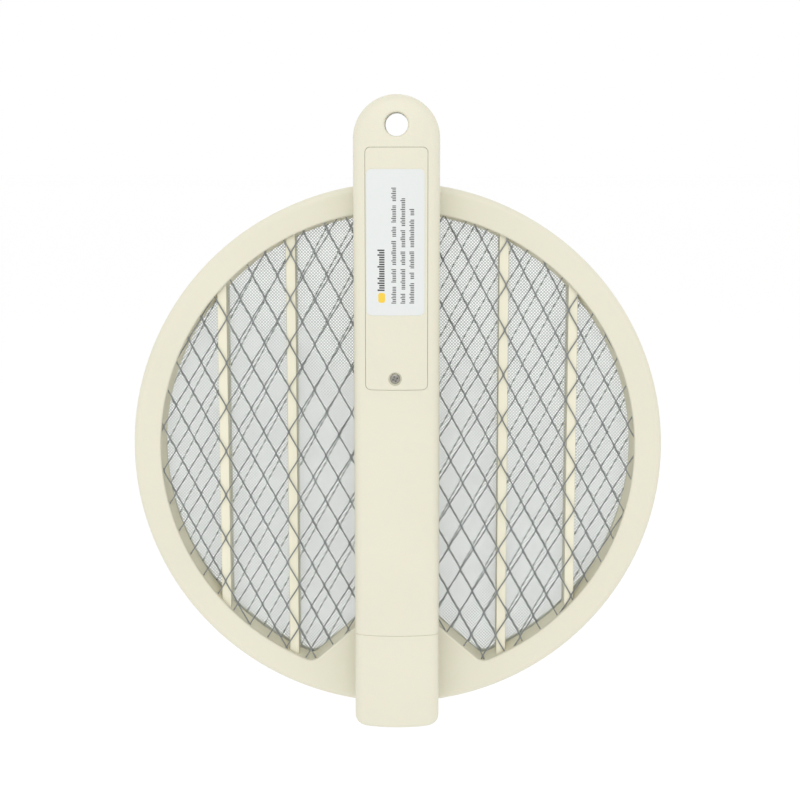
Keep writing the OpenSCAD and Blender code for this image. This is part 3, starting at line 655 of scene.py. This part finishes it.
def coarse_grid(name, y, node, across, diagonal):
    """Zigzag strands that meet side by side at their bonds, as in expanded metal. node is one bond,
    across leads to the next bond in its row and diagonal to one in the row above."""
    verts, faces = [], []
    node, across, diagonal = Vector(node), Vector(across), Vector(diagonal)
    upright = 2 * diagonal - across
    u, v = across.normalized(), upright.normalized()
    columns, rows = int(OPEN_R / across.x) + 7, int(OPEN_R / upright.y) + 3
    starts = [(k, first) for k in range(-columns, columns) for first in (-1, 1)]
    for k, first in starts:
        step = diagonal if first > 0 else diagonal - across
        route = []
        for j in range(-2 * rows, 2 * rows):
            side = first if j % 2 == 0 else -first
            here = node + k * across + j // 2 * upright + (step if j % 2 else Vector((0, 0)))
            there = here + (diagonal if side > 0 else diagonal - across)
            a = here + side * STRAND_HALF_W * 0.8 * u
            b = there - side * STRAND_HALF_W * 0.8 * u - BOND_L / 2 * v
            route.append((a.x - BOND_L / 2 * v.x, y - TWIST * side, a.y - BOND_L / 2 * v.y))
            a += BOND_L / 2 * v
            route.append((a.x, y + TWIST * side, a.y))
            # The strand leaves its bond in a soft bend and straightens on its way to the next one.
            rise = (b - a).dot(v) * v
            over = b - a - rise
            for t in (0.12, 0.3, 0.7, 0.88):
                p = a + rise * t + over * (0.85 * t + 0.15 * t * t * (3 - 2 * t))
                route.append((p.x, y + TWIST * side, p.y))
        for run in clip(route[:-4]):
            strand(verts, faces, run, STRAND_HALF_T, STRAND_HALF_W, BAR)
    return new_object(name, verts, faces)


FINE_PITCH, FINE_SLOPE = 1.3, 0.98
FINE_HALF_W, FINE_HALF_T = 0.15, 0.09


def fine_grid(name, y):
    """A fine screen of two crossing sets of straight bars."""
    verts, faces = [], []
    reach, steps = OPEN_R + 4, 60
    count = int(reach * (1 + FINE_SLOPE) / FINE_PITCH) + 1
    heights = [reach * i / steps for i in range(-steps, steps + 1)]
    for way in (-1, 1):
        for k in range(-count, count + 1):
            route = [(k * FINE_PITCH + way * FINE_SLOPE * z, y + way * FINE_HALF_T, z) for z in heights]
            for run in clip(route):
                strand(verts, faces, [run[0], run[-1]], FINE_HALF_T, FINE_HALF_W, RIBBON)
    return new_object(name, verts, faces)


def middle_y(node):
    low, high = box_mm(node)
    return (low.y + high.y) / 2


# Each coarse grid's lie about the head's centre: one bond, the step to the next bond in its row, and
# the step to a bond in the row above.
FRONT_LIE = (1.46, -4.41), (10.446, -0.444), (5.416, 9.092)
REAR_LIE = (6.25, 3.5), (10.35, 0.18), (5.175, 9.9)
front_grid = coarse_grid("front_mesh", middle_y("front_grid"), *FRONT_LIE)
rear_grid = coarse_grid("rear_mesh", middle_y("rear_grid"), *REAR_LIE)
centre_grid = fine_grid("centre_mesh", middle_y("centre_grid"))

# ---------------------------------------------------------------- screws, pins and controls


def screw(x, z, y, inward, head_r, head_t, shank_r, length):
    """A pan-head screw with a cross recess. y is the head's top, and inward points along the shank."""
    place = lambda a, b, h: (x + a, y + inward * h, z + b)
    dome = [(head_r * math.sin(math.radians(a)), head_t * 0.42 * (1 - math.cos(math.radians(a))))
            for a in (4, 20, 38, 56, 74, 90)]
    profile = dome + [(head_r, head_t - 0.1), (head_r - 0.1, head_t), (shank_r, head_t),
                      (shank_r, length - shank_r), (shank_r * 0.25, length)]
    body = lathe("screw", profile, place, 32)
    for turn in (0.35, 0.35 + math.pi / 2):
        c, s = math.cos(turn), math.sin(turn)
        rings = []
        for h, l, w in ((-0.5, 0.62, 0.17), (0.0, 0.6, 0.16), (head_t * 0.75, 0.34, 0.1)):
            l, w = l * head_r, w * head_r
            rings.append([place(c * a - s * b, s * a + c * b, h)
                          for a, b in ((-l, -w), (l, -w), (l, w), (-l, w))])
        cut(body, skin("cross", rings))
    return body


# A screw is its way in along Y, its head's radius and height, its shank's radius and its length.
FRAME_SCREW, SHELL_SCREW = (-1, 1.9, 1.4, 1.15, 12), (-1, 2.1, 1.4, 1.2, 16)
COLLAR_SCREW, DOOR_SCREW = (-1, 2.1, 0.9, 1.2, 5), (1, 1.95, 0.8, 1.0, 8)
screw_groups = {
    "frame_screw_set": [screw(x, HEAD_Z + z, HEAD_Y1 - 0.8, *FRAME_SCREW) for x, z in FRAME_SCREWS],
    "shell_screw_set": [screw(x, z, HALF_D - 0.6, *SHELL_SCREW) for x, z in SHELL_SCREWS],
    "collar_screw_set": [screw(x, z, HALF_D - 0.1, *COLLAR_SCREW) for x, z in COLLAR_SCREWS],
    "door_screw_head": [screw(SCREW_X, SCREW_Z, -HALF_D + 0.42, *DOOR_SCREW)],
}
screws = {name: join(name, parts) for name, parts in screw_groups.items()}

BUTTON_EDGE, FLANGE = 0.9, 2.4
SHOULDER_Y = HALF_D + 0.5
button_rings = [(-0.1, ("y", 9.5)), (-0.1, ("y", SHOULDER_Y))]
button_rings += [(-0.1 - BUTTON_EDGE * (1 - math.cos(t)), ("y", SHOULDER_Y + BUTTON_EDGE * math.sin(t)))
                 for t in (math.radians(a) for a in (15, 30, 45, 60, 75, 90))]
button_rings += [(off, ("y", HALF_D + up)) for off, up in ((-2.2, 1.36), (-3.4, 1.3), (-4.3, 1.28))]
button = prism("button_cap", button_outline, button_rings)
flange_w, flange_h = BUTTON_W + FLANGE, BUTTON_H + FLANGE
add(button, prism("flange", lambda off: round_rect(0, BUTTON_Z, flange_w, flange_h, 5.5, off, 10, 4),
                  [(0, ("y", 9.62)), (0, ("y", 11.05))]))

GROOVES, GROOVE_PITCH, GROOVE_W = 4, 1.4, 0.5
knob = prism("switch_knob", lambda off: round_rect(0, KNOB_Z, KNOB_W, KNOB_H, 1.2, off),
             [(0, ("y", HALF_D - 0.7)), (0, ("y", HALF_D + 0.6)), (-0.12, ("y", HALF_D + 0.8)),
              (-0.35, ("y", HALF_D + 0.9))])
for k in range(GROOVES):
    groove_z = KNOB_Z + (k - (GROOVES - 1) / 2) * GROOVE_PITCH
    cut(knob, prism("groove", lambda off: round_rect(0, groove_z, KNOB_W + 1, GROOVE_W, 0.2, off, 3, 2),
                    [(0, ("y", HALF_D + 0.55)), (0, ("y", HALF_D + 2))]))
add(knob, prism("stem", lambda off: round_rect(0, KNOB_Z, STEM_W, STEM_H, 0.8, off),
                [(0, ("y", 9.8)), (0, ("y", HALF_D - 0.5))]))

LAMP_FOOT_R, LAMP_DOME = 2.0, 0.6
dome_y = lamp_high.y - LAMP_DOME
lamp = lathe("lamp_lens",
             [(LAMP_FOOT_R, 5.0), (LAMP_FOOT_R, 6.0), (LAMP_R, 6.0), (LAMP_R, dome_y)]
             + [(LAMP_R * math.cos(t), dome_y + LAMP_DOME * math.sin(t))
                for t in (math.radians(a) for a in (20, 40, 60, 80))],
             lambda a, b, h: (a, h, LAMP_Z + b), 40)


def cell(name, node, up):
    """An AAA cell: a jacket over a can, a shoulder, and the contact button."""
    low, high = box_mm(node)
    x, y = (low.x + high.x) / 2, (low.y + high.y) / 2
    r, length = (high.x - low.x) / 2, high.z - low.z
    base, way = (low.z, 1) if up else (high.z, -1)
    body, can_r, band = length - 1.2, 4.6, 0.74
    profile = [(3.4, 0.25), (3.6, 0.0), (4.4, 0.0), (4.7, 0.2), (4.75, 0.35), (r - 0.25, 0.35), (r, 0.6),
               (r, body * band), (r, body - 0.5), (r - 0.3, body - 0.1), (can_r, body - 0.1),
               (4.5, body - 0.45), (2.3, body - 0.45), (1.9, body - 0.1), (1.9, length - 0.25),
               (1.65, length)]
    ob = lathe(name, profile, lambda a, b, h: (x + a, y + b, base + way * h), 48)
    for poly in ob.data.polygons:
        h = way * (poly.center.z / MM - base)
        rim = math.hypot(poly.center.x / MM - x, poly.center.y / MM - y) > can_r + 0.02
        poly.material_index = 2 if not rim or h < 0.3 else (1 if h > body * band else 0)
    return ob


cells = [cell(f"cell_{i}", f"battery_cell_{i}", i < 3) for i in (1, 2, 3, 4)]


def coil(name, node, axis, r0, r1, wire, turns):
    """A smooth spring in the place of its faceted CAD solid."""
    low, high = box_mm(node)
    centre = (low + high) / 2
    start, height = (low[axis] + wire, high[axis] - low[axis] - 2 * wire)
    rings = []
    steps, sides = 40 * turns, 10
    for i in range(steps + 1):
        t = i / steps
        r, a = r0 + (r1 - r0) * t, TAU * turns * t
        ring = []
        for j in range(sides):
            b = TAU * j / sides
            rr, up = r + wire * math.cos(b), start + height * t + wire * math.sin(b)
            p = (centre.x + rr * math.cos(a), centre.y + rr * math.sin(a), up)
            if axis == 1:
                p = (rr * math.cos(a), up, BUTTON_Z - rr * math.sin(a))
            ring.append(p)
        rings.append(ring)
    return skin(name, rings)


battery_spring = coil("cell_spring", "battery_springs", 2, 2.8, 2.2, 0.3, 3)
press_spring = coil("press_spring", "button_spring", 1, 4.6, 2.9, 0.3, 2)

# ---------------------------------------------------------------- materials


def srgb(r, g, b):
    """A colour given as on a screen, 0 to 255, in linear numbers."""
    lin = lambda c: c / 12.92 if c <= 0.04045 else ((c + 0.055) / 1.055) ** 2.4
    return tuple(lin(c / 255) for c in (r, g, b)) + (1.0,)


def noise_range(nodes, links, coords, scale, detail, low, high):
    """A noise over the piece, mapped to a range of values."""
    noise = nodes.new("ShaderNodeTexNoise")
    noise.inputs["Scale"].default_value = scale
    noise.inputs["Detail"].default_value = detail
    links.new(coords, noise.inputs["Vector"])
    ranged = nodes.new("ShaderNodeMapRange")
    ranged.inputs["From Min"].default_value = 0.3
    ranged.inputs["From Max"].default_value = 0.7
    ranged.inputs["To Min"].default_value = low
    ranged.inputs["To Max"].default_value = high
    links.new(noise.outputs["Fac"], ranged.inputs["Value"])
    return ranged.outputs["Result"]


def material(name, colour, vary, rough, grain, bump, depth, metallic=0.0, patch=25,
             stretch=(1, 1, 1), **sockets):
    """A surface with cloudy colour, uneven gloss and a fine grain, all in the piece's own space. vary
    is how much the colour changes, rough the range of roughness, grain and patch the scales of the
    fine and the cloudy noise, bump and depth the grain's strength and its height in millimetres."""
    mat = bpy.data.materials.new(name)
    mat.use_nodes = True
    nodes, links = mat.node_tree.nodes, mat.node_tree.links
    shader = nodes["Principled BSDF"]
    mapping = nodes.new("ShaderNodeMapping")
    mapping.inputs["Scale"].default_value = stretch
    links.new(nodes.new("ShaderNodeTexCoord").outputs["Object"], mapping.inputs["Vector"])
    coords = mapping.outputs["Vector"]
    mix = nodes.new("ShaderNodeMix")
    mix.data_type = "RGBA"
    mix.inputs[6].default_value = tuple(c * (1 - vary) for c in colour[:3]) + (1.0,)
    mix.inputs[7].default_value = tuple(min(c * (1 + vary), 1.0) for c in colour[:3]) + (1.0,)
    links.new(noise_range(nodes, links, coords, patch, 4, 0, 1), mix.inputs[0])
    links.new(mix.outputs[2], shader.inputs["Base Color"])
    links.new(noise_range(nodes, links, coords, patch * 3, 3, *rough), shader.inputs["Roughness"])
    bumper = nodes.new("ShaderNodeBump")
    bumper.inputs["Strength"].default_value = bump
    bumper.inputs["Distance"].default_value = depth * MM
    links.new(noise_range(nodes, links, coords, grain, 2, 0, 1), bumper.inputs["Height"])
    links.new(bumper.outputs["Normal"], shader.inputs["Normal"])
    shader.inputs["Metallic"].default_value = metallic
    for socket, value in sockets.items():
        shader.inputs[socket.replace("_", " ")].default_value = value
    return mat


CREAM = srgb(217, 214, 195)
mats = {
    "cream_plastic": material("cream_plastic", CREAM, 0.012, (0.42, 0.52), 2200, 0.25, 0.03,
                              Subsurface_Weight=0.05, Subsurface_Scale=0.002),
    # The spacers' plastic: a lighter copy of the cream, painted light on their walls, which sit in shade
    # inside the head.
    "spacer_plastic_painted_light": material("spacer_plastic_painted_light", srgb(226, 222, 200), 0.012, (0.5, 0.6), 2200, 0.25,
                               0.03),
    "zinc_steel": material("zinc_steel", srgb(150, 148, 142), 0.06, (0.28, 0.42), 3000, 0.3,
                           0.02, 1.0, 300),
    "nickel_plate": material("nickel_plate", srgb(186, 184, 176), 0.04, (0.2, 0.34), 2400, 0.2,
                             0.02, 1.0, 200),
    "grid_metal": material("grid_metal", srgb(140, 143, 143), 0.14, (0.34, 0.5), 2600, 0.35,
                           0.03, 1.0, 160),
    # The rear grid's metal: a darker copy of grid_metal, painted shade for strands seen through the
    # front grid and the screen.
    "grid_metal_painted_shade": material("grid_metal_painted_shade", srgb(108, 110, 110), 0.14, (0.34, 0.5), 2600, 0.35,
                                0.03, 1.0, 160),
    "fine_grid_metal": material("fine_grid_metal", srgb(188, 194, 189), 0.08, (0.4, 0.55), 3200, 0.3,
                                0.02, 1.0, 120),
    "label_film": material("label_film", srgb(216, 219, 217), 0.008, (0.3, 0.36), 2600, 0.1, 0.02,
                           Coat_Weight=0.15, Coat_Roughness=0.3),
    "label_ink": material("label_ink", srgb(58, 58, 60), 0.08, (0.4, 0.5), 4000, 0.1, 0.01, patch=900),
    "label_amber": material("label_amber", srgb(232, 196, 60), 0.04, (0.35, 0.45), 4000, 0.1, 0.01),
    "cell_jacket": material("cell_jacket", srgb(34, 38, 52), 0.05, (0.24, 0.32), 1500, 0.1, 0.02,
                            Coat_Weight=0.4, Coat_Roughness=0.15),
    "cell_band": material("cell_band", srgb(178, 120, 66), 0.05, (0.28, 0.36), 1500, 0.1, 0.02, 0.6),
    "red_button": material("red_button", srgb(196, 62, 44), 0.02, (0.36, 0.44), 1800, 0.2, 0.03),
    "grey_knob": material("grey_knob", srgb(74, 75, 78), 0.03, (0.42, 0.52), 1800, 0.25, 0.03),
    "red_lamp": material("red_lamp", srgb(208, 40, 34), 0.02, (0.12, 0.18), 900, 0.05, 0.01,
                         Transmission_Weight=0.35, IOR=1.49),
    "board_green": material("board_green", srgb(44, 104, 62), 0.08, (0.3, 0.42), 1400, 0.2, 0.03,
                            patch=120),
    "ferrite": material("ferrite", srgb(58, 57, 58), 0.08, (0.55, 0.7), 1500, 0.4, 0.05),
    "copper_winding": material("copper_winding", srgb(186, 116, 60), 0.08, (0.28, 0.4), 900, 0.5,
                               0.08, 0.8, stretch=(1, 1, 8)),
    "film_capacitor": material("film_capacitor", srgb(176, 60, 34), 0.04, (0.2, 0.28), 900, 0.1, 0.03),
    "capacitor_sleeve": material("capacitor_sleeve", srgb(40, 52, 84), 0.04, (0.25, 0.35), 900, 0.1,
                                 0.02),
    "resistor_body": material("resistor_body", srgb(206, 180, 134), 0.06, (0.4, 0.5), 1200, 0.2, 0.03),
    "black_epoxy": material("black_epoxy", srgb(30, 30, 32), 0.1, (0.5, 0.65), 1800, 0.3, 0.03),
    "red_wire": material("red_wire", srgb(176, 34, 30), 0.03, (0.35, 0.45), 900, 0.1, 0.02),
    "white_wire": material("white_wire", srgb(224, 224, 220), 0.02, (0.35, 0.45), 900, 0.1, 0.02),
}


def dress(ob, *names):
    ob.data.materials.clear()
    for name in names:
        ob.data.materials.append(mats[name])


def piece(ob, body, slot, nodes=(), names=None, angle=32):
    """Finishes a new piece: its shading, material, body and the CAD nodes it stands for. slot is the
    material's name when names is None.
    """
    shade(ob, angle)
    dress(ob, *(names or [slot]))
    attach(ob, body)
    if nodes:
        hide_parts(*nodes)


piece(outer_shell, "handle", "cream_plastic", ["handle_outer_shell"])
piece(inner_shell, "handle", "cream_plastic", ["handle_inner_shell"])
piece(hinge_collar, "handle", "cream_plastic", ["hinge_collar"])
piece(door, "battery_door", "cream_plastic", ["battery_door"])
piece(label, "battery_door", "label_film", ["door_label"])
piece(label_print, "battery_door", "label_film", names=["label_ink"])
piece(label_patch, "battery_door", "label_film", names=["label_amber"])
piece(front_frame, "head", "cream_plastic", ["head_front_frame"])
piece(rear_frame, "head", "cream_plastic", ["head_rear_frame"])
# The spacers take the lighter copy of the cream, which is painted light for their shaded walls.
piece(front_spacer, "head", "cream_plastic", ["front_spacer"], ["spacer_plastic_painted_light"])
piece(rear_spacer, "head", "cream_plastic", ["rear_spacer"], ["spacer_plastic_painted_light"])
piece(front_grid, "head", "grid_metal", ["front_grid"], angle=60)
# The rear grid takes the darker copy of its metal, which is painted shade.
piece(rear_grid, "head", "grid_metal", ["rear_grid"], ["grid_metal_painted_shade"], 60)
piece(centre_grid, "head", "fine_grid_metal", ["centre_grid"], angle=60)
piece(screws["frame_screw_set"], "head", "zinc_steel", ["frame_screws"])
piece(screws["shell_screw_set"], "handle", "zinc_steel", ["shell_screws"])
piece(screws["collar_screw_set"], "handle", "zinc_steel", ["collar_screws"])
piece(screws["door_screw_head"], "battery_door", "zinc_steel", ["door_screw"])
piece(button, "zap_button", "red_button", ["zap_button"])
piece(knob, "power_switch", "grey_knob", ["power_switch_knob"])
piece(lamp, "handle", "red_lamp", ["indicator_lamp"])
piece(battery_spring, "handle", "nickel_plate", ["battery_springs"], angle=80)
piece(press_spring, "handle", "zinc_steel", ["button_spring"], angle=80)
for i, ob in enumerate(cells):
    piece(ob, "handle", "cell_jacket", [f"battery_cell_{i + 1}"],
          ["cell_jacket", "cell_band", "nickel_plate"])

kept = {
    "hinge_pins": "nickel_plate", "hinge_washers": "nickel_plate", "battery_tray": "cream_plastic",
    "battery_contacts": "nickel_plate", "battery_leads": "red_wire", "circuit_board": "board_green",
    "transformer_core": "ferrite", "transformer_winding": "copper_winding",
    "high_voltage_capacitor": "film_capacitor", "filter_capacitor": "capacitor_sleeve",
    "resistors": "resistor_body", "diodes": "black_epoxy", "switching_transistor": "black_epoxy",
    "push_switch": "black_epoxy", "power_switch_body": "black_epoxy", "handle_hv_leads": "white_wire",
    "head_hv_leads": "white_wire",
}
for node, name in kept.items():
    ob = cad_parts[node]
    for slot in ob.material_slots:
        slot.link = "OBJECT"
        slot.material = mats[name]

# ---------------------------------------------------------------- camera, floor and light

LENS, SENSOR = 73.8, 36.0
CAMERA_AT = (0.0075, -0.659, -0.01035)
TILT, ROLL, PAN = -0.1507, 0.0006, 0.0094
camera = bpy.data.objects.new("camera", bpy.data.cameras.new("camera"))
camera.data.lens, camera.data.sensor_width = LENS, SENSOR
camera.location = CAMERA_AT
camera.rotation_euler = (math.pi / 2 + TILT, ROLL, PAN)
bpy.context.scene.collection.objects.link(camera)
bpy.context.scene.camera = camera

FLOOR_Z, FLOOR_HALF = -500.0, 30000
floor_corners = [(x * FLOOR_HALF, y * FLOOR_HALF, FLOOR_Z)
                 for x, y in ((-1, -1), (1, -1), (1, 1), (-1, 1))]
floor = new_object("floor", floor_corners, [(0, 1, 2, 3)])
floor_white = material("floor_white", srgb(255, 255, 255), 0.0, (0.6, 0.7), 40, 0.02, 1.0, patch=2)
floor.data.materials.append(floor_white)

world = bpy.data.worlds.new("studio")
world.use_nodes = True
background = world.node_tree.nodes["Background"]
background.inputs["Color"].default_value = (1.0, 1.0, 1.0, 1.0)
background.inputs["Strength"].default_value = 1.0
bpy.context.scene.world = world


def area_light(name, place, target, size, power):
    light = bpy.data.lights.new(name, "AREA")
    light.shape, light.size, light.energy = "SQUARE", size, power
    ob = bpy.data.objects.new(name, light)
    ob.location = place
    ob.rotation_euler = (Vector(target) - Vector(place)).to_track_quat("-Z", "Y").to_euler()
    bpy.context.scene.collection.objects.link(ob)


KEY_AT, KEY_AIM, KEY_SIZE, KEY_POWER = (-0.15, -1.7, 1.1), (0.0, 0.0, -0.13), 1.4, 9.0
area_light("key", KEY_AT, KEY_AIM, KEY_SIZE, KEY_POWER)
bpy.context.scene.view_settings.view_transform = "Standard"
